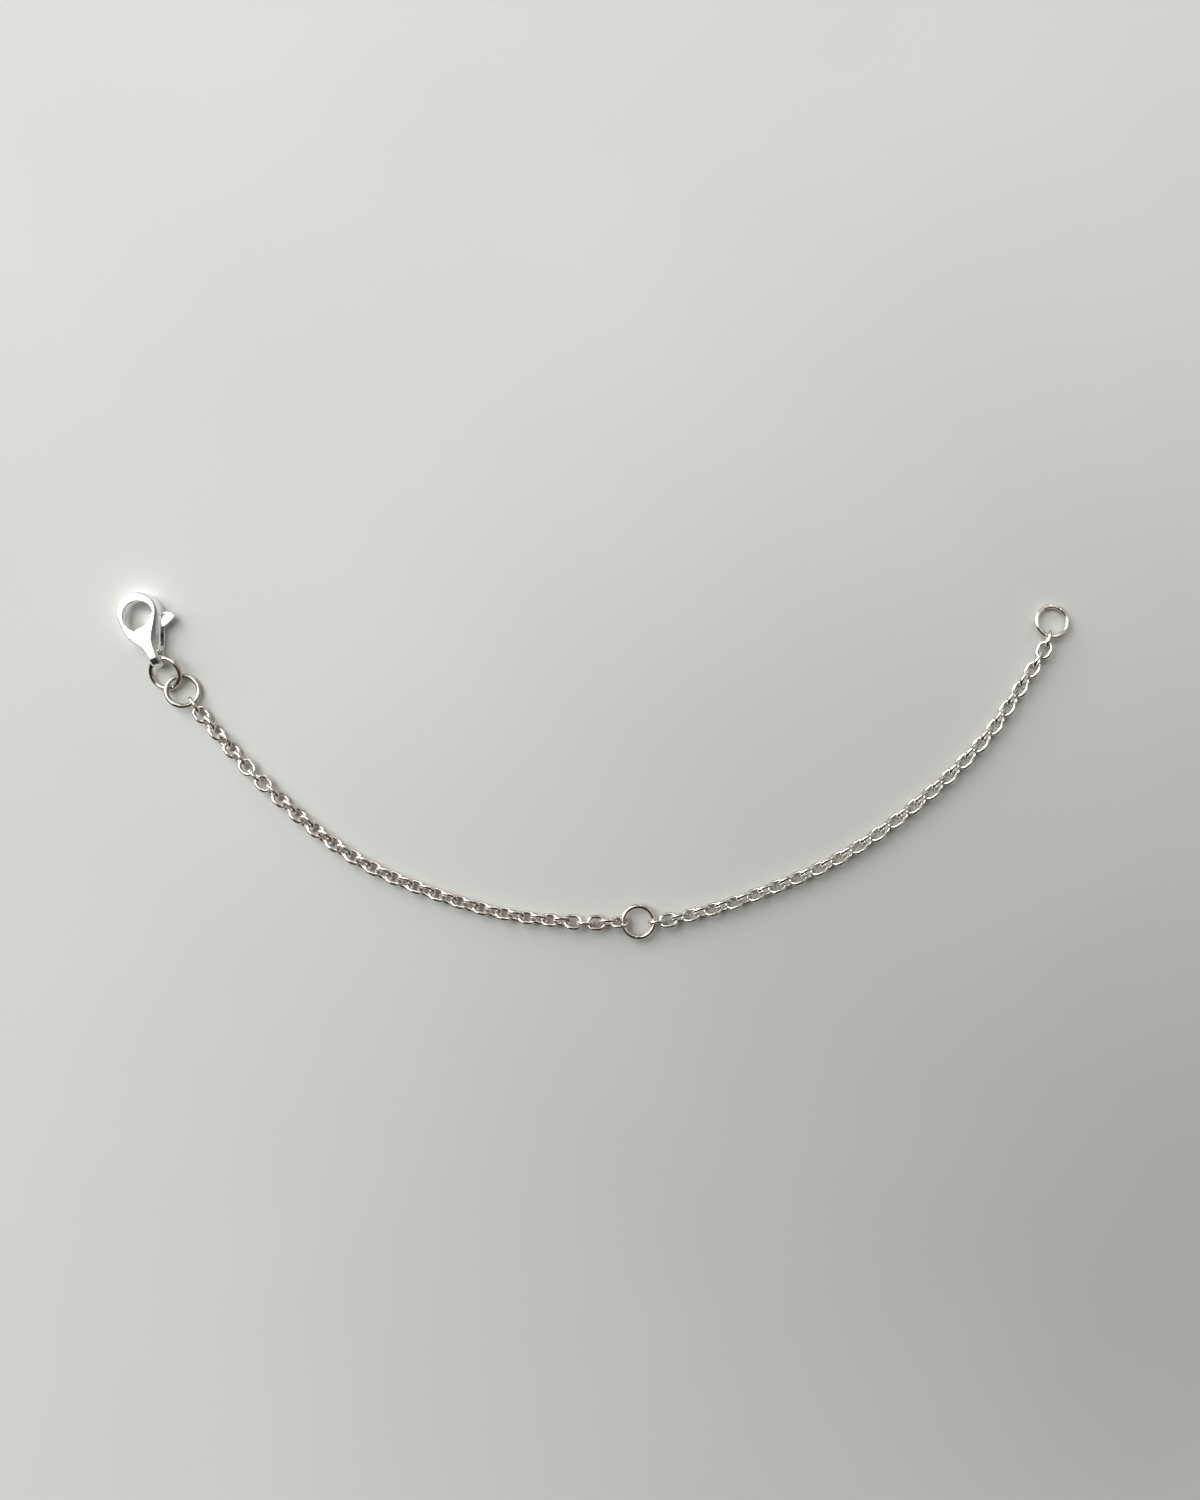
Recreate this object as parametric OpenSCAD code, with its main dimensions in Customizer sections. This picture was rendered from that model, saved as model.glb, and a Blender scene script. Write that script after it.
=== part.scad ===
// Chain extender: a lobster clasp, two runs of oval cable chain and four jump rings, lying flat.
// Millimetres, +Z up, the surface it lies on is z = 0, and the origin is the middle of its outline.

/* [Clasp] */
// Thickness of the clasp, from its flat back to its flat face
clasp_t = 2.3; // [2.2:0.05:2.4]
// Radius of the round opening that the gate closes
opening_r = 1.62; // [1.6:0.01:1.66]
// Widest radius round the hook
hook_r = 2.31; // [2.28:0.01:2.36]
// Radius of the pivot rivet
pin_r = 0.3; // [0.26:0.01:0.34]
// Thickness of the lever's plate, which runs through the slot
lever_t = 0.7; // [0.6:0.02:0.76]
// Radius of the hole across the clasp's eye
eye_hole_r = 0.82; // [0.81:0.01:0.84]
// Direction the clasp points, from straight up the page, anticlockwise
clasp_lean = 21.5; // [19:0.5:24]

/* [Jump rings] */
// Outside diameter of a jump ring
ring_d = 4; // [3.96:0.02:4.02]
// Thickness of the ring's wire
ring_wire = 0.54; // [0.5:0.01:0.54]
// Angle that the closed joint in a ring takes up
seam_deg = 0.8; // [0.5:0.1:2]

/* [Cable chain] */
// Outside length of a link
link_l = 2.16; // [2.14:0.01:2.2]
// Outside width of a link
link_w = 1.75; // [1.7:0.01:1.8]
// Thickness of the link's wire
link_wire = 0.37; // [0.34:0.01:0.37]
// Links between the clasp's rings and the middle ring
first_links = 44; // [12:2:60]
// Links between the middle ring and the end ring
second_links = 45; // [13:2:61]
// Distance from link to link in the first chain
first_pitch = 1.287; // [1.26:0.001:1.29]
// Distance from link to link in the second chain
second_pitch = 1.264; // [1.24:0.001:1.29]

/* [Hidden] */

silver = [0.86, 0.85, 0.84];
bright_silver = [0.93, 0.93, 0.92];
warm_silver = [0.80, 0.77, 0.75];

// The way each chain lies: link number and heading in degrees, straight lines between
FIRST_WAY = [[0, -56], [2, -48.5], [5, -50], [8, -44], [10, -44], [13, -41.5], [17, -36.3], [22, -24.8],
             [25, -20.5], [29, -17.8], [33, -11.3], [36, -6.3], [39, -3.2], [41, -0.5], [43, 4]];
SECOND_WAY = [[0, 4.5], [2, 13.2], [5, 15.8], [8, 20.4], [13, 22.4], [16, 27.4], [20, 33.7], [24, 38.5],
              [27, 40.2], [31, 45.4], [34, 50], [36, 56.4], [40, 57.6], [42, 57.6], [44, 74]];
// How far a link leans over: link number and lean in degrees, 0 flat and 90 on edge.
// Even and odd links lean opposite ways, as neighbours in a cable chain do.
FIRST_LEAN_EVEN = [[0, 76], [4, 45], [6, 62], [8, 90], [10, 64], [14, 48], [30, 42], [38, 54], [40, 87],
                   [42, 62]];
FIRST_LEAN_ODD = [[1, 150], [3, 135], [5, 145], [7, 170], [9, 166], [11, 142], [30, 132], [37, 135],
                  [39, 156], [41, 162], [43, 126]];
SECOND_LEAN_EVEN = [[0, 84], [3, 45], [40, 45], [44, 78]];
SECOND_LEAN_ODD = [[1, 156], [3, 138], [5, 135], [41, 135], [43, 150]];

// Most that one link's centre lies below its neighbour's
link_drop = 0.07;

// Clearances
running_gap = 0.05;
gate_gap = 0.06;
pin_gap = 0.04;
rivet_gap = 0.01;
rivet_sink = 0.02;
ring_gap = 0.08;
eps = 0.01;

// Clasp, in its own frame: the opening's centre is the origin and +Y points along the hook
HOOK_AT = [0, 0.42];
PIVOT = [-0.3, -2.8];
// The gate slides round the body's shoulder and past the hook's end on arcs about the pivot
shoulder_r = 1.49;
hook_end_r = 2.91;
gate_low_deg = 157.5;
gate_high_deg = 100;
// The opening's lower side is a flatter arc than the rest of it
FLOOR_AT = [-0.7, 1.34];
floor_r = 2.78;
EYE_AT = [-0.14, -4.72];
eye_half_w = 0.61;
eye_rim = 0.24;
eye_flare = 0.1;
lever_z = 0.5;
hub_r = 0.75;
slot_low_deg = -40;
slot_high_deg = 43.5;
// The lever's plate, from the pivot to the thumb tab, and on its other side to the gate
ARM = [PIVOT, [1.2, -2], [1.6, -1.8], [2.1, -1.82], [3.25, -1.31], [3.36, -1.2], [3.37, -1.08],
       [3.22, -0.76], [3, -0.56], [2.48, -0.38], [2.25, -0.5]];
tongue_r = 1.69;
TONGUE = [PIVOT, PIVOT + tongue_r * way(156), PIVOT + tongue_r * way(138), PIVOT + tongue_r * way(120)];

// Sections of the body below the hook, read along Y: the widths at its back and at its flat face
//  y      back left  back right  face left  face right
SHANK = [
  [0.42,  -hook_r,    hook_r,     -2.12,      2.12],
  [-0.3,  -2.30,      2.24,       -2.12,      1.95],
  [-0.9,  -2.27,      2.06,       -2.09,      1.60],
  [-1.4,  -2.19,      1.87,       -2.01,      1.30],
  [-2.0,  -2.02,      1.67,       -1.84,      0.92],
  [-2.5,  -1.76,      1.51,       -1.52,      0.62],
  [-3.0,  -1.42,      1.31,       -1.10,      0.42],
  [-3.6,  -1.08,      1.00,       -0.78,      0.33],
  [-4.2,  -0.80,      0.72,       -0.64,      0.30],
  [-4.7,  -0.72,      0.45,       -0.60,      0.28]];
shank_steps = 24;

// The wall from the face down, in shares of the width between back and face: in from the back, and down
WALL = [[1, 0], [0.65, 0.35], [0.25, 0.85], [0.06, 1.6], [0, 2.4]];
base_bevel = 0.1;
face_bevel = 0.07;
rim_in = 0.12;
rim_down = 0.26;

// Jump rings: the clasp's ring hangs through the eye and crosses over and under the chain ring
link_sides = 12;
wire_sides = 5;
ring_mid_r = (ring_d - ring_wire) / 2;
ring_reach = ring_mid_r + link_l / 2 - link_wire - ring_wire / 2 - ring_gap;
first_dir = -50;
middle_in_dir = 1;
middle_out_dir = 1;
end_dir = 74;
// Height of a ring's wire where it passes through a link that stands on edge
ring_on_link_z = link_wire + ring_wire / 2 + 0.12;

// Places, worked out along the chain from the chain ring
CHAIN_RING_AT = [0, 0];
FIRST_START = CHAIN_RING_AT + ring_reach * way(first_dir);
FIRST_AT = run(FIRST_START, FIRST_WAY, first_pitch, first_links);
MIDDLE_AT = FIRST_AT[first_links - 1] + ring_reach * way(middle_in_dir);
SECOND_START = MIDDLE_AT + ring_reach * way(middle_out_dir);
SECOND_AT = run(SECOND_START, SECOND_WAY, second_pitch, second_links);
END_AT = SECOND_AT[second_links - 1] + ring_reach * way(end_dir);
// The clasp's opening and its ring, from the chain ring
CLASP_AT = CHAIN_RING_AT + [-4.44, 8.14];
CLASP_RING_AT = CLASP_AT + turn([0.1, -6.7], clasp_lean);

// Middle of the outline, which becomes the origin
OUTLINE_LOW = [CLASP_AT.x - HOOK_AT.y * sin(clasp_lean) - hook_r, MIDDLE_AT.y - ring_d / 2];
OUTLINE_HIGH = [END_AT.x + ring_d / 2, CLASP_AT.y + HOOK_AT.y * cos(clasp_lean) + hook_r];
ORIGIN = (OUTLINE_LOW + OUTLINE_HIGH) / 2;

function way(deg) = [cos(deg), sin(deg)];
function turn(p, deg) = [p.x * cos(deg) - p.y * sin(deg), p.x * sin(deg) + p.y * cos(deg)];

// Value at x of a table of [x, value] rows, with straight lines between its rows
function table_at(rows, x) = lookup(x, rows);

// Centres of a run of links: each one lies a pitch further along the way's heading
function run(start, headings, pitch, count) =
  [for (i = 0, p = start; i < count; i = i + 1, p = p + pitch * way(table_at(headings, i - 0.5))) p];

// Height of a link's centre when its lower side touches the surface
function standing_z(lean) = (link_w - link_wire) / 2 * abs(sin(lean)) + link_wire / 2 + 0.02;

// A link lies on the surface, or hangs between links near it that stand higher
function link_z(even, odd, i, count) =
  max([for (k = [max(i - 4, 0) : min(i + 4, count - 1)])
    standing_z(lean_at(even, odd, k)) - link_drop * abs(k - i)]);

function lean_at(even, odd, i) = i % 2 == 0 ? table_at(even, i) : table_at(odd, i);

// Faces that join rings of points; the last ring joins the first, or both ends are capped
function skin(rings, sides, closed) =
  let (last = closed ? rings : rings - 1)
  concat(
    [for (r = [0 : last - 1], s = [0 : sides - 1])
      let (a = r * sides, b = ((r + 1) % rings) * sides, t = (s + 1) % sides)
      each [[a + s, b + t, b + s], [a + s, a + t, b + t]]],
    closed ? [] : [[for (s = [0 : sides - 1]) sides - 1 - s],
                   [for (s = [0 : sides - 1]) (rings - 1) * sides + s]]);

// Oval link, long side along X, made of two half rounds of wire and two short straights
module link() {
  turn_r = (link_w - link_wire) / 2;
  straight = (link_l - link_w) / 2;
  // Pushed out so that the flats lie on the true curve
  corner_r = turn_r / cos(18);
  // A flat of the wire faces inwards, and its height over flat and corner is the wire's thickness
  wire_r = link_wire / (1 + cos(180 / wire_sides));
  points = [for (side = [1, -1], step = [-90 : 36 : 90])
    let (r = abs(step) == 90 ? turn_r : corner_r, out = side * way(step))
    for (s = [0 : wire_sides - 1])
      let (a = s * 360 / wire_sides, reach = r + wire_r * cos(a))
      [side * straight + out.x * reach, out.y * reach, wire_r * sin(a)]];
  polyhedron(points, skin(link_sides, wire_sides, true));
}

module placed(at, z = 0) {
  translate([at.x - ORIGIN.x, at.y - ORIGIN.y, z]) children();
}

module chain(at, headings, even, odd, count) {
  for (i = [0 : count - 1])
    placed(at[i], link_z(even, odd, i, count))
      rotate([0, 0, table_at(headings, i)])
        rotate([lean_at(even, odd, i), 0, 0]) link();
}

// Jump ring in the XY plane with its closed joint at the given angle
module jump_ring(seam_at) {
  rotate([0, 0, seam_at + seam_deg / 2])
    rotate_extrude(angle = 360 - seam_deg, $fn = 96)
      translate([ring_mid_r, 0]) circle(d = ring_wire, $fn = 32);
}

// A ring whose wire rises towards one side: its centre, that direction and the angle
module tilted(at, z, dir, tilt) {
  placed(at, z) rotate([0, 0, dir]) rotate([0, -tilt, 0]) rotate([0, 0, -dir]) children();
}

module on_clasp() {
  placed(CLASP_AT) rotate([0, 0, clasp_lean]) children();
}

// Pie slice about the pivot, between two radii and two angles
module pie(r_in, r_out, low, high) {
  translate(PIVOT) difference() {
    intersection() {
      circle(r = r_out, $fn = 96);
      polygon(concat([[0, 0]], [for (i = [0 : 6]) 2 * r_out * way(low + (high - low) * i / 6)]));
    }
    if (r_in > 0) circle(r = r_in, $fn = 96);
  }
}

// Outer form of the closed clasp below the hook, one section at a given share of the way down
module shank_form() {
  top = SHANK[0][0];
  bottom = SHANK[len(SHANK) - 1][0];
  column = [for (c = [1 : 4]) [for (row = SHANK) [row[0], row[c]]]];
  points = [for (i = [0 : shank_steps])
    let (y = top + (bottom - top) * i / shank_steps,
         back_l = table_at(column[0], y), back_r = table_at(column[1], y),
         face_l = table_at(column[2], y), face_r = table_at(column[3], y))
    for (q = wall_section(back_l, back_r, face_l, face_r)) [q.x, y, q.y]];
  sides = 2 * (len(WALL) + 3);
  polyhedron(points, skin(shank_steps + 1, sides, false));
}

// Section of the clasp across its length: flat back, steep walls, broad bevels up to the flat face
function wall_section(back_l, back_r, face_l, face_r) =
  let (left = half_wall(back_l, face_l), right = half_wall(back_r, face_r), last = len(right) - 1)
  concat(left, [for (i = [last : -1 : 0]) right[i]]);

function half_wall(back, face) =
  let (inwards = sign(face - back), w = abs(face - back))
  let (edge_z = clasp_t - face_bevel, last = len(WALL) - 1)
  concat(
    [[back + inwards * base_bevel, 0], [back, base_bevel]],
    [for (i = [last : -1 : 0]) [back + inwards * w * WALL[i][0], edge_z - w * WALL[i][1]]],
    [[face + inwards * face_bevel, clasp_t]]);

// Outer form of the hook, half a turn of the same section
module hook_form() {
  translate([HOOK_AT.x, HOOK_AT.y, 0])
    rotate_extrude(angle = 180, $fn = 128)
      intersection() {
        polygon(wall_section(-hook_r, hook_r, SHANK[0][3], SHANK[0][4]));
        square([2 * hook_r, clasp_t]);
      }
}

module clasp_form() {
  hook_form();
  shank_form();
}

// The round opening, with a bevelled rim at the face and a smaller one at the back
module opening() {
  translate([0, 0, -eps])
    cylinder(r1 = opening_r + rim_in / 2, r2 = opening_r, h = rim_in / 2 + eps, $fn = 96);
  cylinder(r = opening_r, h = clasp_t, $fn = 96);
  translate([0, 0, clasp_t - rim_down])
    cylinder(r1 = opening_r, r2 = opening_r + rim_in + eps, h = rim_down + eps, $fn = 96);
}

// Upright round piece through the whole thickness, about a point
module through(at, r) {
  translate([at.x, at.y, -1]) cylinder(r = r, h = clasp_t + 2, $fn = 96);
}

module clasp_body() {
  color(bright_silver) on_clasp() difference() {
    union() {
      difference() {
        clasp_form();
        difference() {
          intersection() {
            opening();
            through(FLOOR_AT, floor_r);
          }
          through(PIVOT, shoulder_r);
        }
        // Room for the gate
        translate([0, 0, -1]) linear_extrude(clasp_t + 2)
          pie(shoulder_r, hook_end_r, gate_high_deg, gate_low_deg + 1.8);
      }
      // Eye, a loop across the clasp's end
      translate([EYE_AT.x, EYE_AT.y, clasp_t / 2]) rotate([0, 90, 0]) for (side = [0, 1])
        mirror([0, 0, side]) {
          cylinder(d = clasp_t, h = eye_half_w - eye_rim, $fn = 96);
          translate([0, 0, eye_half_w - eye_rim])
            cylinder(d1 = clasp_t, d2 = clasp_t - 2 * eye_rim, h = eye_rim, $fn = 96);
        }
    }
    translate([EYE_AT.x, EYE_AT.y, clasp_t / 2]) rotate([0, 90, 0]) {
      cylinder(r = eye_hole_r, h = 4, center = true, $fn = 64);
      for (side = [0, 1]) mirror([0, 0, side]) translate([0, 0, eye_half_w - eye_flare])
        cylinder(r1 = eye_hole_r, r2 = eye_hole_r + 2 * eye_flare, h = 2 * eye_flare, $fn = 64);
    }
    // Slot that the lever's plate runs in
    translate([0, 0, lever_z - running_gap]) linear_extrude(lever_t + 2 * running_gap) {
      pie(0, shoulder_r + 0.3, gate_high_deg - 12, gate_low_deg + 1.8);
      pie(0, 5, slot_low_deg, slot_high_deg);
      translate(PIVOT) circle(r = hub_r + running_gap, $fn = 64);
    }
    through(PIVOT, pin_r + rivet_gap);
  }
}

module clasp_lever() {
  color(silver) on_clasp() difference() {
    union() {
      // Gate, a piece of the clasp's own form
      intersection() {
        difference() {
          shank_form();
          opening();
        }
        linear_extrude(clasp_t)
          pie(shoulder_r + gate_gap, hook_end_r - gate_gap, gate_high_deg, gate_low_deg);
      }
      translate([0, 0, lever_z]) linear_extrude(lever_t) {
        polygon(TONGUE);
        translate(PIVOT) circle(r = hub_r, $fn = 64);
        polygon(ARM);
      }
    }
    through(PIVOT, pin_r + pin_gap);
  }
}

module clasp_pin() {
  color(silver) on_clasp() translate([PIVOT.x, PIVOT.y, rivet_sink])
    cylinder(r = pin_r, h = clasp_t - 2 * rivet_sink, $fn = 96);
}

module clasp_ring() {
  color(warm_silver) tilted(CLASP_RING_AT, 0.94, 59, 22) jump_ring(-60);
}

module chain_ring() {
  color(warm_silver) tilted(CHAIN_RING_AT, 0.79, 222, 17) jump_ring(160);
}

module first_chain() {
  color(warm_silver) chain(FIRST_AT, FIRST_WAY, FIRST_LEAN_EVEN, FIRST_LEAN_ODD, first_links);
}

module middle_ring() {
  color(warm_silver) placed(MIDDLE_AT, ring_on_link_z) jump_ring(-100);
}

module second_chain() {
  color(silver) chain(SECOND_AT, SECOND_WAY, SECOND_LEAN_EVEN, SECOND_LEAN_ODD, second_links);
}

module end_ring() {
  // Its far side rests on the surface
  tilt = asin((ring_on_link_z - ring_wire / 2) / (2 * ring_mid_r));
  color(silver)
    tilted(END_AT, (ring_on_link_z + ring_wire / 2) / 2, end_dir + 180, tilt) jump_ring(55);
}

clasp_body();
clasp_lever();
clasp_pin();
clasp_ring();
chain_ring();
first_chain();
middle_ring();
second_chain();
end_ring();
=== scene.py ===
import math

import bmesh
import bpy
from mathutils import Matrix, Vector


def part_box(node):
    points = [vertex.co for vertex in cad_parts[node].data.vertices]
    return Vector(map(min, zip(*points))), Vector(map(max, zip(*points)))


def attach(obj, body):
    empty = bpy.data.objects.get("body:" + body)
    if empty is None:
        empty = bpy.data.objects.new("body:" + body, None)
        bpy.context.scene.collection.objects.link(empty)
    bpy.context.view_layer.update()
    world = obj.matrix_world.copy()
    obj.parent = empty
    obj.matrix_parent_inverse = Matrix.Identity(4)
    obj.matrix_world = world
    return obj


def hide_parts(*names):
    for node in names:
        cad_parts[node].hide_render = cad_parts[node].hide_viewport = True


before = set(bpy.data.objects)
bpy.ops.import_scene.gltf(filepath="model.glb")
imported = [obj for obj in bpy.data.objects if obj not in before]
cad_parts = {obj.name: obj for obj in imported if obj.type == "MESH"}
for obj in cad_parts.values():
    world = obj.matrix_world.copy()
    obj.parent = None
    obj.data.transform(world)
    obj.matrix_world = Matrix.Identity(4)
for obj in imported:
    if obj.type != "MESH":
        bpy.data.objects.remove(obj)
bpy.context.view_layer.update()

# Sizes are in millimetres, as at a jeweller's bench, up to the floor and light; MM makes them metres
MM = 0.001

# Camera
# The photograph looks straight down from 134 mm above the chain, on a picture 1200 wide and 1500 high
PICTURE_H = 1500
CAMERA_HEIGHT = 134.0
# The scale of the picture, at the height of the chain's top above the floor
PIXELS_PER_MM = 9.0
CHAIN_TOP = 0.7
SENSOR_SIZE = 36
CLIP_NEAR, CLIP_FAR = 0.001, 10
# The lens stands this far across and up the page from the chain ring's middle
LENS_FROM_CHAIN_RING = Vector((46.333, -6.556))


def look_down(at):
    lens = bpy.data.cameras.new("camera_above")
    lens.sensor_fit = "VERTICAL"
    lens.sensor_height = lens.sensor_width = SENSOR_SIZE
    half_view = math.atan(PICTURE_H / 2 / PIXELS_PER_MM / CAMERA_HEIGHT)
    lens.lens = lens.sensor_height / (2 * math.tan(half_view))
    lens.clip_start, lens.clip_end = CLIP_NEAR, CLIP_FAR
    camera = bpy.data.objects.new("camera_above", lens)
    bpy.context.scene.collection.objects.link(camera)
    camera.location = Vector((at.x, at.y, CAMERA_HEIGHT + CHAIN_TOP)) * MM
    bpy.context.scene.camera = camera


# Bench tools
def only(obj):
    """Nothing but obj is selected and active."""
    bpy.ops.object.select_all(action="DESELECT")
    obj.select_set(True)
    bpy.context.view_layer.objects.active = obj


def pick_verts(obj, wanted):
    """In edit mode, the vertices for which wanted(co) holds are selected, and nothing else."""
    bpy.ops.mesh.select_mode(type="VERT")
    bpy.ops.mesh.select_all(action="DESELECT")
    bm = bmesh.from_edit_mesh(obj.data)
    for v in bm.verts:
        v.select_set(bool(wanted(v.co)))
    bm.select_flush(True)
    bmesh.update_edit_mesh(obj.data)


def apply_modifiers(obj):
    only(obj)
    for name in [m.name for m in obj.modifiers]:
        bpy.ops.object.modifier_apply(modifier=name)


def set_in_place(obj, matrix):
    """The piece is put where matrix says, and its place goes into its mesh."""
    only(obj)
    obj.matrix_world = matrix
    bpy.ops.object.transform_apply(location=True, rotation=True, scale=True)


def finish_piece(obj, name, material, body, nodes):
    obj.name = obj.data.name = name
    obj.data.materials.clear()
    obj.data.materials.append(material)
    only(obj)
    bpy.ops.object.shade_smooth()
    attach(obj, body)
    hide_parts(*nodes)


# Where the chain lies
# The same values as in the part's source, apart from the sawn seam and the thumb hollow's place
CLASP_LEAN = 21.5
CLASP_T = 2.3
PIN_R = 0.3
RING_D, RING_WIRE = 4.0, 0.54
SEAM_DEG = 0.8
LINK_L, LINK_W, LINK_WIRE = 2.16, 1.75, 0.37
FIRST_LINKS, SECOND_LINKS = 44, 45
FIRST_PITCH, SECOND_PITCH = 1.287, 1.264
FIRST_WAY = [(0, -56), (2, -48.5), (5, -50), (8, -44), (10, -44), (13, -41.5), (17, -36.3),
             (22, -24.8), (25, -20.5), (29, -17.8), (33, -11.3), (36, -6.3), (39, -3.2), (41, -0.5),
             (43, 4)]
SECOND_WAY = [(0, 4.5), (2, 13.2), (5, 15.8), (8, 20.4), (13, 22.4), (16, 27.4), (20, 33.7),
              (24, 38.5), (27, 40.2), (31, 45.4), (34, 50), (36, 56.4), (40, 57.6), (42, 57.6),
              (44, 74)]
FIRST_LEAN_EVEN = [(0, 76), (4, 45), (6, 62), (8, 90), (10, 64), (14, 48), (30, 42), (38, 54),
                   (40, 87), (42, 62)]
FIRST_LEAN_ODD = [(1, 150), (3, 135), (5, 145), (7, 170), (9, 166), (11, 142), (30, 132),
                  (37, 135), (39, 156), (41, 162), (43, 126)]
SECOND_LEAN_EVEN = [(0, 84), (3, 45), (40, 45), (44, 78)]
SECOND_LEAN_ODD = [(1, 156), (3, 138), (5, 135), (41, 135), (43, 150)]
# How far a link hangs under each neighbour that stands higher, and how many neighbours count
LINK_DROP, LINK_NEIGHBOURS = 0.07, 4
LINK_OVER_FLOOR = 0.02
RING_GAP = 0.08
RING_OVER_LINK = 0.12
HOOK_R, HOOK_CENTRE_Y = 2.31, 0.42
# Directions from the chain ring to the first chain, through the middle ring and to the end ring
FIRST_DIR, MIDDLE_DIR, END_DIR = -50, 1, 74
# Each leaning ring's height, and the direction of its high side with its tilt
CLASP_RING_Z, CLASP_RING_TILT = 0.94, (59, 22)
CHAIN_RING_Z, CHAIN_RING_TILT = 0.79, (222, 17)
# The clasp's place on the floor plan, and places in the clasp before it is turned by its lean
CLASP_FROM_CHAIN_RING = Vector((-4.44, 8.14))
RING_IN_CLASP = Vector((0.1, -6.7))
PIVOT_IN_CLASP = Vector((-0.3, -2.8))
THUMB_IN_CLASP = Vector((2.5, -0.98))
RING_MID_R = (RING_D - RING_WIRE) / 2
RING_REACH = RING_MID_R + LINK_L / 2 - LINK_WIRE - RING_WIRE / 2 - RING_GAP
RING_ON_LINK_Z = LINK_WIRE + RING_WIRE / 2 + RING_OVER_LINK


def way(deg):
    return Vector((math.cos(math.radians(deg)), math.sin(math.radians(deg))))


def table_at(rows, x):
    """Value at x, with straight lines between the rows and the end rows held."""
    if x <= rows[0][0]:
        return rows[0][1]
    for (x0, y0), (x1, y1) in zip(rows, rows[1:]):
        if x <= x1:
            return y0 + (y1 - y0) * (x - x0) / (x1 - x0)
    return rows[-1][1]


def run_of_links(start, headings, pitch, count):
    at = [start]
    for i in range(1, count):
        at.append(at[-1] + pitch * way(table_at(headings, i - 0.5)))
    return at


def lean_of(even, odd, i):
    return table_at(even if i % 2 == 0 else odd, i)


def link_height(even, odd, i, count):
    """Height of a link's centre: it stands on the floor or hangs between links that stand higher."""
    def standing(k):
        rise = abs(math.sin(math.radians(lean_of(even, odd, k))))
        return (LINK_W - LINK_WIRE) / 2 * rise + LINK_WIRE / 2 + LINK_OVER_FLOOR
    near = range(max(i - LINK_NEIGHBOURS, 0), min(i + LINK_NEIGHBOURS, count - 1) + 1)
    return max(standing(k) - LINK_DROP * abs(k - i) for k in near)


chain_ring_at = Vector((0.0, 0.0))
first_start = chain_ring_at + RING_REACH * way(FIRST_DIR)
first_at = run_of_links(first_start, FIRST_WAY, FIRST_PITCH, FIRST_LINKS)
middle_at = first_at[-1] + RING_REACH * way(MIDDLE_DIR)
second_start = middle_at + RING_REACH * way(MIDDLE_DIR)
second_at = run_of_links(second_start, SECOND_WAY, SECOND_PITCH, SECOND_LINKS)
end_at = second_at[-1] + RING_REACH * way(END_DIR)
clasp_at = chain_ring_at + CLASP_FROM_CHAIN_RING
clasp_turn = Matrix.Rotation(math.radians(CLASP_LEAN), 2)
clasp_ring_at = clasp_at + clasp_turn @ RING_IN_CLASP
lean_sin, lean_cos = math.sin(math.radians(CLASP_LEAN)), math.cos(math.radians(CLASP_LEAN))
outline_low = Vector((clasp_at.x - HOOK_CENTRE_Y * lean_sin - HOOK_R, middle_at.y - RING_D / 2))
outline_high = Vector((end_at.x + RING_D / 2, clasp_at.y + HOOK_CENTRE_Y * lean_cos + HOOK_R))
outline_middle = (outline_low + outline_high) / 2


def place(at, z, *turns):
    """A place on the floor plan with z above the floor, then turns given as (axis, degrees)."""
    m = Matrix.Translation(Vector((at.x - outline_middle.x, at.y - outline_middle.y, z)) * MM)
    for axis, deg in turns:
        m = m @ Matrix.Rotation(math.radians(deg), 4, axis)
    return m


# Shader groups
class Nodes:
    """A small hand for wiring nodes in one tree."""

    def __init__(self, tree):
        self.tree = tree

    def add(self, kind, **values):
        n = self.tree.nodes.new(kind)
        for key, value in values.items():
            setattr(n, key, value)
        return n

    def wire(self, out, into):
        self.tree.links.new(out, into)

    def math(self, operation, a, b=None, clamp=False):
        n = self.add("ShaderNodeMath", operation=operation, use_clamp=clamp)
        for i, x in enumerate([a] if b is None else [a, b]):
            if isinstance(x, (int, float)):
                n.inputs[i].default_value = x
            else:
                self.wire(x, n.inputs[i])
        return n.outputs[0]

    def noise(self, vector, scale, detail=2.0, roughness=0.5):
        n = self.add("ShaderNodeTexNoise")
        self.wire(vector, n.inputs["Vector"])
        n.inputs["Scale"].default_value = scale
        n.inputs["Detail"].default_value = detail
        n.inputs["Roughness"].default_value = roughness
        return n.outputs["Fac"]

    def ramp(self, value, low, high, to_low=0.0, to_high=1.0):
        n = self.add("ShaderNodeMapRange", clamp=True, interpolation_type="SMOOTHSTEP")
        self.wire(value, n.inputs["Value"])
        for key, x in zip(("From Min", "From Max", "To Min", "To Max"),
                          (low, high, to_low, to_high)):
            n.inputs[key].default_value = x
        return n.outputs["Result"]

    def mix_colour(self, share, a, b):
        n = self.add("ShaderNodeMix", data_type="RGBA")
        for socket, x in ((n.inputs[0], share), (n.inputs[6], a), (n.inputs[7], b)):
            if isinstance(x, (tuple, float, int)):
                socket.default_value = x if not isinstance(x, tuple) else (*x, 1)
            else:
                self.wire(x, socket)
        return n.outputs[2]


def new_group(name, inputs, outputs):
    g = bpy.data.node_groups.new(name, "ShaderNodeTree")
    for label, kind, value in inputs:
        s = g.interface.new_socket(label, in_out="INPUT", socket_type=kind)
        if value is not None:
            s.default_value = value
    for label, kind in outputs:
        g.interface.new_socket(label, in_out="OUTPUT", socket_type=kind)
    n = Nodes(g)
    return g, n, n.add("NodeGroupInput"), n.add("NodeGroupOutput")


FLOAT, VECTOR = "NodeSocketFloat", "NodeSocketVector"


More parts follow.
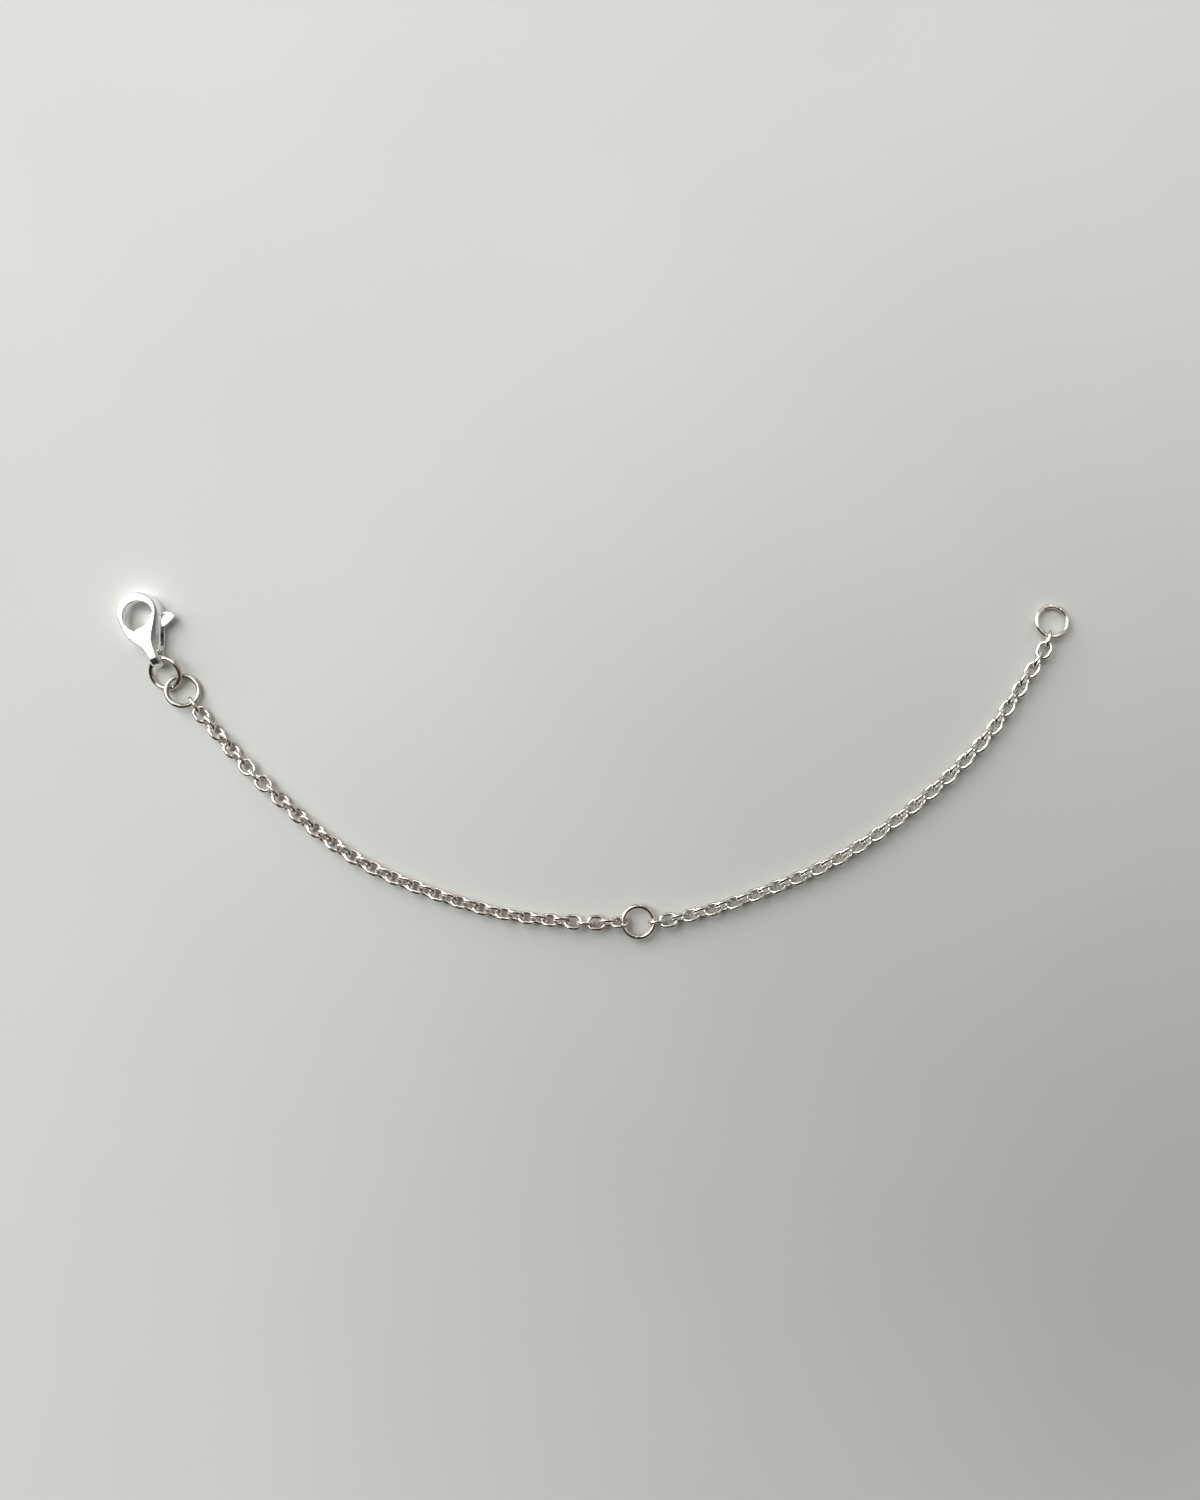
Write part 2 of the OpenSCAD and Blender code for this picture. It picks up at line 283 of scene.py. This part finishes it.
def wire_draw_group():
    """Fine lines that drawing leaves along a wire. UV runs along the wire in U and round it in V."""
    g, n, inp, out = new_group(
        "wire_draw_lines",
        [("UV", VECTOR, None), ("Turns", FLOAT, 9.0), ("Along", FLOAT, 6.0)],
        [("Height", FLOAT), ("Lines", FLOAT)])
    parts = n.add("ShaderNodeSeparateXYZ")
    n.wire(inp.outputs["UV"], parts.inputs[0])
    round_it = n.math("MULTIPLY", parts.outputs["Y"], 2 * math.pi)
    joined = n.add("ShaderNodeCombineXYZ")
    n.wire(n.math("MULTIPLY", n.math("COSINE", round_it), inp.outputs["Turns"]), joined.inputs[0])
    n.wire(n.math("MULTIPLY", n.math("SINE", round_it), inp.outputs["Turns"]), joined.inputs[1])
    n.wire(n.math("MULTIPLY", parts.outputs["X"], inp.outputs["Along"]), joined.inputs[2])
    lines = n.noise(joined.outputs[0], 1.0, 4.0, 0.6)
    n.wire(lines, out.inputs["Height"])
    n.wire(n.ramp(lines, 0.38, 0.66), out.inputs["Lines"])
    return g


def handling_group():
    """Marks of handling: short hairline scratches both ways, and a soft cloud of dulling."""
    g, n, inp, out = new_group(
        "handling_marks",
        [("Vector", VECTOR, None), ("Scratches per mm", FLOAT, 22.0), ("Cloud per mm", FLOAT, 1.2)],
        [("Height", FLOAT), ("Scratch", FLOAT), ("Cloud", FLOAT)])
    per_mm = n.add("ShaderNodeVectorMath", operation="SCALE")
    n.wire(inp.outputs["Vector"], per_mm.inputs[0])
    per_mm.inputs["Scale"].default_value = 1 / MM
    found = None
    for turn_deg, stretch in ((24, 9.0), (-63, 7.0)):
        turned = n.add("ShaderNodeMapping")
        n.wire(per_mm.outputs[0], turned.inputs["Vector"])
        turned.inputs["Rotation"].default_value = (0.4, 0.3, math.radians(turn_deg))
        turned.inputs["Scale"].default_value = (1 / stretch, 1, 1)
        fine = n.add("ShaderNodeVectorMath", operation="SCALE")
        n.wire(turned.outputs[0], fine.inputs[0])
        n.wire(inp.outputs["Scratches per mm"], fine.inputs["Scale"])
        hair = n.ramp(n.noise(fine.outputs[0], 1.0, 1.0), 0.62, 0.72)
        found = hair if found is None else n.math("MAXIMUM", found, hair)
    soft = n.add("ShaderNodeVectorMath", operation="SCALE")
    n.wire(per_mm.outputs[0], soft.inputs[0])
    n.wire(inp.outputs["Cloud per mm"], soft.inputs["Scale"])
    cloud = n.noise(soft.outputs[0], 1.0, 3.0, 0.55)
    n.wire(n.math("SUBTRACT", 1.0, found), out.inputs["Height"])
    n.wire(found, out.inputs["Scratch"])
    n.wire(n.ramp(cloud, 0.4, 0.68), out.inputs["Cloud"])
    return g


def link_rub_and_shade_group():
    """Where a link is rubbed bright by its neighbours: its two ends, on the inner side; the second
    output marks the link's inner side for painted shade.
    """
    g, n, inp, out = new_group("link_rub_and_shade", [("UV", VECTOR, None)], [("Rubbed", FLOAT), ("Inner shade", FLOAT)])
    parts = n.add("ShaderNodeSeparateXYZ")
    n.wire(inp.outputs["UV"], parts.inputs[0])
    end = n.math("ABSOLUTE", n.math("COSINE", n.math("MULTIPLY", parts.outputs["X"], 2 * math.pi)))
    inner = n.math("COSINE", n.math("MULTIPLY", parts.outputs["Y"], 2 * math.pi))
    inner = n.ramp(n.math("MULTIPLY", inner, -1.0), -0.2, 0.7)
    n.wire(n.math("MULTIPLY", n.ramp(end, 0.7, 0.97), inner), out.inputs["Rubbed"])
    # The inner side alone goes out as the mask of painted shade
    n.wire(inner, out.inputs["Inner shade"])
    return g


draw_lines = wire_draw_group()
handling = handling_group()
link_rub_and_shade = link_rub_and_shade_group()

BRIGHT_SILVER, HANDLED_SILVER = (0.97, 0.965, 0.96), (0.92, 0.91, 0.90)
# Depths of the relief in millimetres
WIRE_RELIEF, CAST_RELIEF, RIVET_RELIEF = 0.0025, 0.01, 0.0005


def new_material(name):
    m = bpy.data.materials.new(name)
    m.use_nodes = True
    n = Nodes(m.node_tree)
    shader = m.node_tree.nodes["Principled BSDF"]
    shader.inputs["Metallic"].default_value = 1.0
    return m, n, shader


def use_group(n, group, **values):
    node = n.add("ShaderNodeGroup", node_tree=group)
    for key, x in values.items():
        node.inputs[key.replace("_", " ")].default_value = x
    return node


def bump(n, shader, height, depth_mm):
    b = n.add("ShaderNodeBump")
    b.inputs["Strength"].default_value = 1.0
    b.inputs["Distance"].default_value = depth_mm * MM
    n.wire(height, b.inputs["Height"])
    n.wire(b.outputs["Normal"], shader.inputs["Normal"])


def wire_silver(name, clean, dull, rough, underside, links):
    """Silver wire of rings and links: drawn lines along it, handling marks and a cloud of tarnish, with
    painted shade in the same dull colour on the sides, the underside and the inner side of links.
    """
    m, n, shader = new_material(name)
    coords = n.add("ShaderNodeTexCoord")
    facing = n.add("ShaderNodeSeparateXYZ")
    n.wire(n.add("ShaderNodeNewGeometry").outputs["Normal"], facing.inputs[0])
    # The sides and the underside are darkened towards the dull colour the less they face up: painted
    # shade
    underside_shade = n.ramp(facing.outputs["Z"], 0.25, 0.85, 1.0, 0.0)
    lines = use_group(n, draw_lines, Turns=7.0, Along=3.0 if links else 8.0)
    n.wire(coords.outputs["UV"], lines.inputs["UV"])
    marks = use_group(n, handling, Scratches_per_mm=14.0, Cloud_per_mm=0.9)
    n.wire(coords.outputs["Object"], marks.inputs["Vector"])
    dulling_and_shade = marks.outputs["Cloud"]
    if links:
        rub_and_shade = use_group(n, link_rub_and_shade)
        n.wire(coords.outputs["UV"], rub_and_shade.inputs["UV"])
        kept = n.math("SUBTRACT", 1.0, rub_and_shade.outputs["Rubbed"])
        # The link's inner side is darkened towards the dull colour: painted shade; the rubbed ends lose
        # both the tarnish and this shade
        dulling_and_shade = n.math("MULTIPLY", n.math("ADD", n.math("MULTIPLY", dulling_and_shade, 0.7),
                                         n.math("MULTIPLY", rub_and_shade.outputs["Inner shade"], 0.3)), kept)
    # The painted shade of the sides and underside is laid over the tarnish
    dulling_and_shade = n.math("MAXIMUM", dulling_and_shade, n.math("MULTIPLY", underside_shade, underside))
    colour = n.mix_colour(dulling_and_shade, clean, dull)
    n.wire(colour, shader.inputs["Base Color"])
    worn = n.math("ADD", n.math("MULTIPLY", dulling_and_shade, 0.10), rough)
    worn = n.math("ADD", worn, n.math("MULTIPLY", lines.outputs["Lines"], 0.05))
    worn = n.math("ADD", worn, n.math("MULTIPLY", marks.outputs["Scratch"], 0.08), clamp=True)
    n.wire(worn, shader.inputs["Roughness"])
    height = n.math("ADD", n.math("MULTIPLY", lines.outputs["Height"], 0.8),
                    n.math("MULTIPLY", marks.outputs["Height"], 0.2))
    bump(n, shader, height, WIRE_RELIEF)
    return m


def cast_silver(name, clean, dull, rough, peel):
    """Polished cast silver of the clasp: a wavy cast skin under the polish, and handling marks."""
    m, n, shader = new_material(name)
    coords = n.add("ShaderNodeTexCoord")
    marks = use_group(n, handling, Scratches_per_mm=9.0, Cloud_per_mm=0.8)
    n.wire(coords.outputs["Object"], marks.inputs["Vector"])
    n.wire(n.mix_colour(marks.outputs["Cloud"], clean, dull), shader.inputs["Base Color"])
    worn = n.math("ADD", n.math("MULTIPLY", marks.outputs["Cloud"], 0.07), rough)
    worn = n.math("ADD", worn, n.math("MULTIPLY", marks.outputs["Scratch"], 0.07), clamp=True)
    n.wire(worn, shader.inputs["Roughness"])
    skin = n.noise(coords.outputs["Object"], 2.2 / MM, 2.0)
    height = n.math("ADD", n.math("MULTIPLY", skin, peel),
                    n.math("MULTIPLY", marks.outputs["Height"], 0.1))
    bump(n, shader, height, CAST_RELIEF)
    return m


def turned_silver(name):
    """Rivet ends, peened and filed flat: rings round the middle and a few marks."""
    m, n, shader = new_material(name)
    coords = n.add("ShaderNodeTexCoord")
    low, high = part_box("clasp_pin")
    centre = n.add("ShaderNodeMapping")
    n.wire(coords.outputs["Object"], centre.inputs["Vector"])
    centre.inputs["Location"].default_value = -(low + high) / 2
    rings = n.add("ShaderNodeTexWave", wave_type="RINGS", rings_direction="Z")
    n.wire(centre.outputs[0], rings.inputs["Vector"])
    rings.inputs["Scale"].default_value = 3.0 / MM
    rings.inputs["Distortion"].default_value = 1.5
    marks = use_group(n, handling, Scratches_per_mm=12.0, Cloud_per_mm=2.0)
    n.wire(coords.outputs["Object"], marks.inputs["Vector"])
    n.wire(n.mix_colour(marks.outputs["Cloud"], BRIGHT_SILVER, HANDLED_SILVER),
           shader.inputs["Base Color"])
    n.wire(n.math("ADD", n.math("MULTIPLY", rings.outputs["Fac"], 0.05), 0.24),
           shader.inputs["Roughness"])
    bump(n, shader, rings.outputs["Fac"], RIVET_RELIEF)
    return m


clasp_silver = cast_silver("clasp_cast_silver", BRIGHT_SILVER, HANDLED_SILVER, 0.17, 0.5)
lever_silver = cast_silver("lever_cast_silver", BRIGHT_SILVER, HANDLED_SILVER, 0.18, 0.4)
rivet_silver = turned_silver("rivet_silver")
ring_silver = wire_silver("ring_wire_silver", clean=(0.89, 0.85, 0.78), dull=(0.48, 0.43, 0.35),
                          rough=0.09, underside=0.8, links=False)
# A darker copy of the ring silver for the chain ring: painted shade
shaded_ring_silver = wire_silver("shaded_ring_silver", clean=(0.64, 0.605, 0.54), dull=(0.37, 0.33, 0.27),
                               rough=0.14, underside=0.85, links=False)
# A lighter copy of the ring silver for the end ring, with less underside shade: painted light
lit_ring_silver = wire_silver("lit_ring_silver", clean=(0.985, 0.965, 0.90), dull=(0.50, 0.46, 0.37),
                                rough=0.15, underside=0.35, links=False)
first_silver = wire_silver("first_chain_silver", clean=(0.97, 0.91, 0.87), dull=(0.46, 0.395, 0.34),
                           rough=0.085, underside=0.65, links=True)
second_silver = wire_silver("second_chain_silver", clean=(0.96, 0.945, 0.90), dull=(0.49, 0.46, 0.405),
                            rough=0.09, underside=0.72, links=True)


# Jump rings
RING_STEPS, RING_SIDES = 96, 20
# The filed edge of a sawn end, and the sharpest edge that smooth shading rounds
SAWN_EDGE = 0.03
SMOOTH_DEG = 50


def jump_ring(name, node, seam_at, seam_slip, matrix, silver):
    """A ring of round wire, sawn through at seam_at degrees and closed again a hair apart."""
    bpy.ops.object.select_all(action="DESELECT")
    bpy.ops.mesh.primitive_torus_add(major_segments=RING_STEPS, minor_segments=RING_SIDES,
                                     major_radius=RING_MID_R, minor_radius=RING_WIRE / 2)
    ring = bpy.context.object
    step = 360 / RING_STEPS

    def in_step(co, deg):
        off = math.degrees(math.atan2(co.y, co.x)) - deg
        return abs(off) < 0.2 * step

    bpy.ops.object.mode_set(mode="EDIT")
    pick_verts(ring, lambda co: in_step(co, 0) or in_step(co, -step))
    bpy.ops.mesh.delete(type="ONLY_FACE")
    pick_verts(ring, lambda co: in_step(co, -step))
    # With no window this turns anticlockwise for a negative value
    bpy.ops.transform.rotate(value=-math.radians(step - SEAM_DEG), orient_axis="Z",
                             center_override=(0, 0, 0))
    bpy.ops.transform.translate(value=(0, 0, seam_slip))
    bpy.ops.mesh.select_all(action="DESELECT")
    bpy.ops.mesh.select_mode(type="EDGE")
    bpy.ops.mesh.select_non_manifold()
    bpy.ops.mesh.fill_holes(sides=0)
    bpy.ops.mesh.select_mode(type="FACE")
    bm = bmesh.from_edit_mesh(ring.data)
    for f in bm.faces:
        f.select_set(len(f.verts) == RING_SIDES)
    bmesh.update_edit_mesh(ring.data)
    bpy.ops.mesh.inset(thickness=SAWN_EDGE)
    bpy.ops.mesh.select_all(action="SELECT")
    bpy.ops.mesh.normals_make_consistent(inside=False)
    bpy.ops.object.mode_set(mode="OBJECT")
    shrink = Matrix.Scale(MM, 4)
    turned = Matrix.Rotation(math.radians(seam_at + SEAM_DEG / 2), 4, "Z")
    set_in_place(ring, matrix @ shrink @ turned)
    finish_piece(ring, name, silver, "extender", [node])
    only(ring)
    bpy.ops.object.shade_smooth_by_angle(angle=math.radians(SMOOTH_DEG))


def tilted(at, z, direction, tilt):
    """A place at z above the floor, with the side that direction points to tilted up."""
    return place(at, z, ("Z", direction), ("Y", -tilt), ("Z", -direction))


end_tilt = math.degrees(math.asin((RING_ON_LINK_Z - RING_WIRE / 2) / (2 * RING_MID_R)))
end_ring_z = (RING_ON_LINK_Z + RING_WIRE / 2) / 2
jump_ring("clasp_ring_wire", "clasp_ring", -60, 0.02,
          tilted(clasp_ring_at, CLASP_RING_Z, *CLASP_RING_TILT), ring_silver)
jump_ring("chain_ring_wire", "chain_ring", 160, -0.015,
          tilted(chain_ring_at, CHAIN_RING_Z, *CHAIN_RING_TILT), shaded_ring_silver)
jump_ring("middle_ring_wire", "middle_ring", -100, 0.02, place(middle_at, RING_ON_LINK_Z), ring_silver)
jump_ring("end_ring_wire", "end_ring", 55, 0.025,
          tilted(end_at, end_ring_z, END_DIR + 180, end_tilt), lit_ring_silver)


# Cable chain
LINK_STEPS, LINK_SIDES = 36, 12
# The links' wire is a little fuller than that of the source's links, which are kept apart
FULL_WIRE = 0.42
JOINT_SWELL = 1.04
# Half the width of the band of vertices that stays in a link's middle
MIDDLE_BAND = 0.01


def link_master():
    """One oval link: a ring drawn out lengthwise, with the swelling of its soldered joint."""
    bpy.ops.object.select_all(action="DESELECT")
    bpy.ops.mesh.primitive_torus_add(major_segments=LINK_STEPS, minor_segments=LINK_SIDES,
                                     major_radius=(LINK_W - LINK_WIRE) / 2,
                                     minor_radius=FULL_WIRE / 2)
    link = bpy.context.object
    half_straight = (LINK_L - LINK_W) / 2
    bpy.ops.object.mode_set(mode="EDIT")
    for side in (1, -1):
        pick_verts(link, lambda co: co.x * side > MIDDLE_BAND)
        bpy.ops.transform.translate(value=(side * half_straight, 0, 0))
    # Solder joint in the middle of one long side
    joint_y = -(LINK_W - LINK_WIRE) / 2
    pick_verts(link, lambda co: abs(co.x) < MIDDLE_BAND and co.y < 0)
    bpy.ops.transform.resize(value=(1, JOINT_SWELL, JOINT_SWELL), center_override=(0, joint_y, 0))
    bpy.ops.object.mode_set(mode="OBJECT")
    return link


def lay_chain(master, name, at, headings, even, odd, material, node):
    links = []
    for i, spot in enumerate(at):
        only(master)
        bpy.ops.object.duplicate(linked=False)
        link = bpy.context.object
        z = link_height(even, odd, i, len(at))
        where = place(spot, z, ("Z", table_at(headings, i)), ("X", lean_of(even, odd, i)))
        # Every second link has its joint on the other side
        flip = Matrix.Rotation(math.pi * (i % 2), 4, "Z")
        link.matrix_world = where @ Matrix.Scale(MM, 4) @ flip
        links.append(link)
    bpy.ops.object.select_all(action="DESELECT")
    for link in links:
        link.select_set(True)
    bpy.context.view_layer.objects.active = links[0]
    bpy.ops.object.transform_apply(location=True, rotation=True, scale=True)
    bpy.ops.object.join()
    chain = bpy.context.object
    finish_piece(chain, name, material, "extender", [node])


master_link = link_master()
lay_chain(master_link, "first_chain_links", first_at, FIRST_WAY, FIRST_LEAN_EVEN, FIRST_LEAN_ODD,
          first_silver, "first_chain")
lay_chain(master_link, "second_chain_links", second_at, SECOND_WAY, SECOND_LEAN_EVEN,
          SECOND_LEAN_ODD, second_silver, "second_chain")
bpy.data.objects.remove(master_link)


# Clasp
pivot_in_room = (clasp_at + clasp_turn @ PIVOT_IN_CLASP - outline_middle).to_3d()
thumb_rest = (clasp_at + clasp_turn @ THUMB_IN_CLASP - outline_middle).to_3d()
# Radius of each end arc of the gate about the pivot, as in the source and as closed up
GATE_ARCS = [(1.55, 1.51), (2.85, 2.89)]
ARC_REACH = 0.012
# The thumb tab's top above the floor, and the hollow pressed into it
TAB_TOP, TOP_BAND = 1.2, 0.04
PRESS_R, PRESS_DEPTH, HOLLOW_R = 0.12, 0.085, 0.72
# Grain of the remesh, and how far the smoothing softens the edges
BODY_GRAIN, LEVER_GRAIN, MERGE_WITHIN = 0.042, 0.036, 0.0005
BUFF_SHARE, BUFF_PASSES = 0.5, 3


def close_gate(lever):
    """In edit mode and in millimetres, the gate's two end arcs are brought near to the body's."""
    for arc, closer in GATE_ARCS:
        pick_verts(lever, lambda co: abs((co - pivot_in_room).xy.length - arc) < ARC_REACH)
        bpy.ops.transform.resize(value=(closer / arc, closer / arc, 1), center_override=pivot_in_room)


def hollow_thumb_rest(lever):
    """In edit mode and in millimetres, the top of the thumb tab is pressed into a shallow hollow."""
    pick_verts(lever, lambda co: co.z > TAB_TOP - TOP_BAND and (co - thumb_rest).xy.length < PRESS_R)
    bpy.ops.transform.translate(value=(0, 0, -PRESS_DEPTH), use_proportional_edit=True,
                                use_proportional_connected=True, proportional_size=HOLLOW_R,
                                proportional_edit_falloff="SMOOTH")


def polished_casting(node, name, grain, material, body):
    """The cast form of a clasp part with its edges softened, as tumbling and buffing leave it."""
    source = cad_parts[node]
    piece = bpy.data.objects.new(name, source.data.copy())
    bpy.context.scene.collection.objects.link(piece)
    only(piece)
    bpy.ops.object.mode_set(mode="EDIT")
    bpy.ops.mesh.select_mode(type="VERT")
    bpy.ops.mesh.select_all(action="SELECT")
    # Brought up to a thousand times its size, because a remesh has no finer grain than 0.1 mm
    bpy.ops.transform.resize(value=(1 / MM, 1 / MM, 1 / MM), center_override=(0, 0, 0))
    bpy.ops.mesh.remove_doubles(threshold=MERGE_WITHIN)
    bpy.ops.mesh.customdata_custom_splitnormals_clear()
    if node == "clasp_lever":
        close_gate(piece)
    bpy.ops.object.mode_set(mode="OBJECT")
    remesh = piece.modifiers.new("grain", "REMESH")
    remesh.mode, remesh.voxel_size, remesh.use_smooth_shade = "VOXEL", grain, True
    soften = piece.modifiers.new("buff", "SMOOTH")
    soften.factor, soften.iterations = BUFF_SHARE, BUFF_PASSES
    apply_modifiers(piece)
    bpy.ops.object.mode_set(mode="EDIT")
    if node == "clasp_lever":
        hollow_thumb_rest(piece)
    bpy.ops.mesh.select_all(action="SELECT")
    bpy.ops.transform.resize(value=(MM, MM, MM), center_override=(0, 0, 0))
    bpy.ops.object.mode_set(mode="OBJECT")
    finish_piece(piece, name, material, body, [node])


polished_casting("clasp_body", "clasp_body_cast", BODY_GRAIN, clasp_silver, "extender")
polished_casting("clasp_lever", "clasp_lever_cast", LEVER_GRAIN, lever_silver, "lever")


# Each rivet end stands in from the body's face, and is hammered out and up in three low steps
RIVET_SINK = 0.02
PEEN_SPREAD = 1.2
PEEN_RISES = (0.017, 0.005, 0.003)
PEEN_RINGS = (0.05, 0.14)


def peened_rivet():
    """The pivot rivet, each end peened out over its hole and filed nearly flush."""
    bpy.ops.object.select_all(action="DESELECT")
    bpy.ops.mesh.primitive_cylinder_add(vertices=64, radius=PIN_R, depth=CLASP_T - 2 * RIVET_SINK,
                                        location=pivot_in_room + Vector((0, 0, CLASP_T / 2)))
    rivet = bpy.context.object
    bpy.ops.object.transform_apply(location=True, rotation=True, scale=True)
    bpy.ops.object.mode_set(mode="EDIT")
    for end in (1, -1):
        face_z = CLASP_T / 2 + end * (CLASP_T / 2 - RIVET_SINK)
        pick_verts(rivet, lambda co: abs(co.z - face_z) < 0.001)
        bpy.ops.mesh.extrude_region_move(TRANSFORM_OT_translate={"value": (0, 0, end * PEEN_RISES[0])})
        bpy.ops.transform.resize(value=(PEEN_SPREAD, PEEN_SPREAD, 1), center_override=pivot_in_room)
        for ring_width, rise in zip(PEEN_RINGS, PEEN_RISES[1:]):
            bpy.ops.mesh.inset(thickness=ring_width)
            bpy.ops.transform.translate(value=(0, 0, end * rise))
    bpy.ops.mesh.select_all(action="SELECT")
    bpy.ops.mesh.normals_make_consistent(inside=False)
    bpy.ops.object.mode_set(mode="OBJECT")
    set_in_place(rivet, Matrix.Scale(MM, 4))
    finish_piece(rivet, "clasp_rivet_peened", rivet_silver, "extender", ["clasp_pin"])
    only(rivet)
    bpy.ops.object.shade_smooth_by_angle(angle=math.radians(SMOOTH_DEG))


peened_rivet()


# Floor and light
# The fuller links stand down to here, in millimetres; the sizes and places after it are in metres
FLOOR_Z = -0.02
FLOOR_SIZE = 1.2
SHAPE_R, SHAPE_Z = 0.058, 0.14
WINDOW_AZIMUTH, WINDOW_DISTANCE = 143, 1.10


def pale_floor():
    bpy.ops.object.select_all(action="DESELECT")
    bpy.ops.mesh.primitive_plane_add(size=FLOOR_SIZE, location=(0, 0, FLOOR_Z * MM))
    floor = bpy.context.object
    floor.name = "pale_floor"
    m, n, shader = new_material("pale_paper")
    shader.inputs["Metallic"].default_value = 0.0
    shader.inputs["Roughness"].default_value = 0.9
    coords = n.add("ShaderNodeTexCoord")
    tone = n.ramp(n.noise(coords.outputs["Object"], 30.0, 2.0), 0.3, 0.7)
    n.wire(n.mix_colour(tone, (0.548, 0.564, 0.548), (0.562, 0.578, 0.562)),
           shader.inputs["Base Color"])
    floor.data.materials.append(m)


def towards(from_straight_up, azimuth):
    """A direction by its angle from straight up and its compass angle from +X, in degrees."""
    up, round_it = math.radians(from_straight_up), math.radians(azimuth)
    return Vector((math.sin(up) * math.cos(round_it), math.sin(up) * math.sin(round_it), math.cos(up)))


def window_panel(name, from_straight_up, width, height, brightness):
    """A soft light that faces the middle of the chain; brightness is what the silver sees of it."""
    light = bpy.data.lights.new(name, "AREA")
    light.shape, light.size, light.size_y = "RECTANGLE", width, height
    light.energy, light.color = brightness * math.pi * width * height, (1.0, 0.995, 0.98)
    panel = bpy.data.objects.new(name, light)
    bpy.context.scene.collection.objects.link(panel)
    direction = towards(from_straight_up, WINDOW_AZIMUTH)
    panel.location = direction * WINDOW_DISTANCE
    panel.rotation_euler = (-direction).to_track_quat("-Z", "Y").to_euler()


def dark_shape_above():
    """A dark cloth behind the lens, which the silver shows as dark brown."""
    bpy.ops.object.select_all(action="DESELECT")
    bpy.ops.mesh.primitive_circle_add(vertices=64, radius=SHAPE_R, fill_type="NGON",
                                      location=(0, 0, SHAPE_Z))
    shape = bpy.context.object
    shape.name = "dark_shape_above"
    m, n, shader = new_material("dark_cloth")
    shader.inputs["Metallic"].default_value = 0.0
    shader.inputs["Roughness"].default_value = 0.9
    coords = n.add("ShaderNodeTexCoord")
    folds = n.ramp(n.noise(coords.outputs["Object"], 25.0, 3.0), 0.3, 0.7)
    n.wire(n.mix_colour(folds, (0.095, 0.073, 0.06), (0.125, 0.097, 0.08)),
           shader.inputs["Base Color"])
    shape.data.materials.append(m)


def room():
    """The room round the table: a light ceiling, warmer beyond, dark at the near side."""
    world = bpy.data.worlds.new("room")
    bpy.context.scene.world = world
    world.use_nodes = True
    n = Nodes(world.node_tree)
    back = world.node_tree.nodes["Background"]
    coords = n.add("ShaderNodeTexCoord")
    parts = n.add("ShaderNodeSeparateXYZ")
    n.wire(coords.outputs["Generated"], parts.inputs[0])
    x, y, z = parts.outputs["X"], parts.outputs["Y"], parts.outputs["Z"]
    right = n.mix_colour(n.ramp(z, 0.45, 0.72), (0.16, 0.165, 0.175), (0.85, 0.82, 0.76))
    over = n.mix_colour(n.ramp(x, -0.10, 0.25), (0.24, 0.225, 0.20), right)
    over = n.mix_colour(n.ramp(y, 0.15, 0.65), over, (0.40, 0.375, 0.335))
    near = n.mix_colour(n.ramp(x, 0.1, 0.7), (0.035, 0.028, 0.024), (0.07, 0.07, 0.08))
    over = n.mix_colour(n.ramp(y, -0.30, 0.0), near, over)
    # A far window, low at the right
    into = towards(64, 74)
    facing = n.math("MULTIPLY", x, into.x)
    for side, share in ((y, into.y), (z, into.z)):
        facing = n.math("ADD", facing, n.math("MULTIPLY", side, share))
    n.wire(n.mix_colour(n.ramp(facing, 0.965, 0.988), over, (2.4, 2.5, 2.6)), back.inputs["Color"])
    back.inputs["Strength"].default_value = 1.0


pale_floor()
room()
dark_shape_above()
window_panel("window_upper", 33, 0.95, 0.88, 4.5)
window_panel("window_lower", 71, 0.85, 0.66, 4.6)
# Light that the polished silver throws on the floor stays as sharp as it is
bpy.context.scene.cycles.blur_glossy = 0.0
bpy.context.scene.view_settings.view_transform = "Standard"
look_down(chain_ring_at + LENS_FROM_CHAIN_RING - outline_middle)
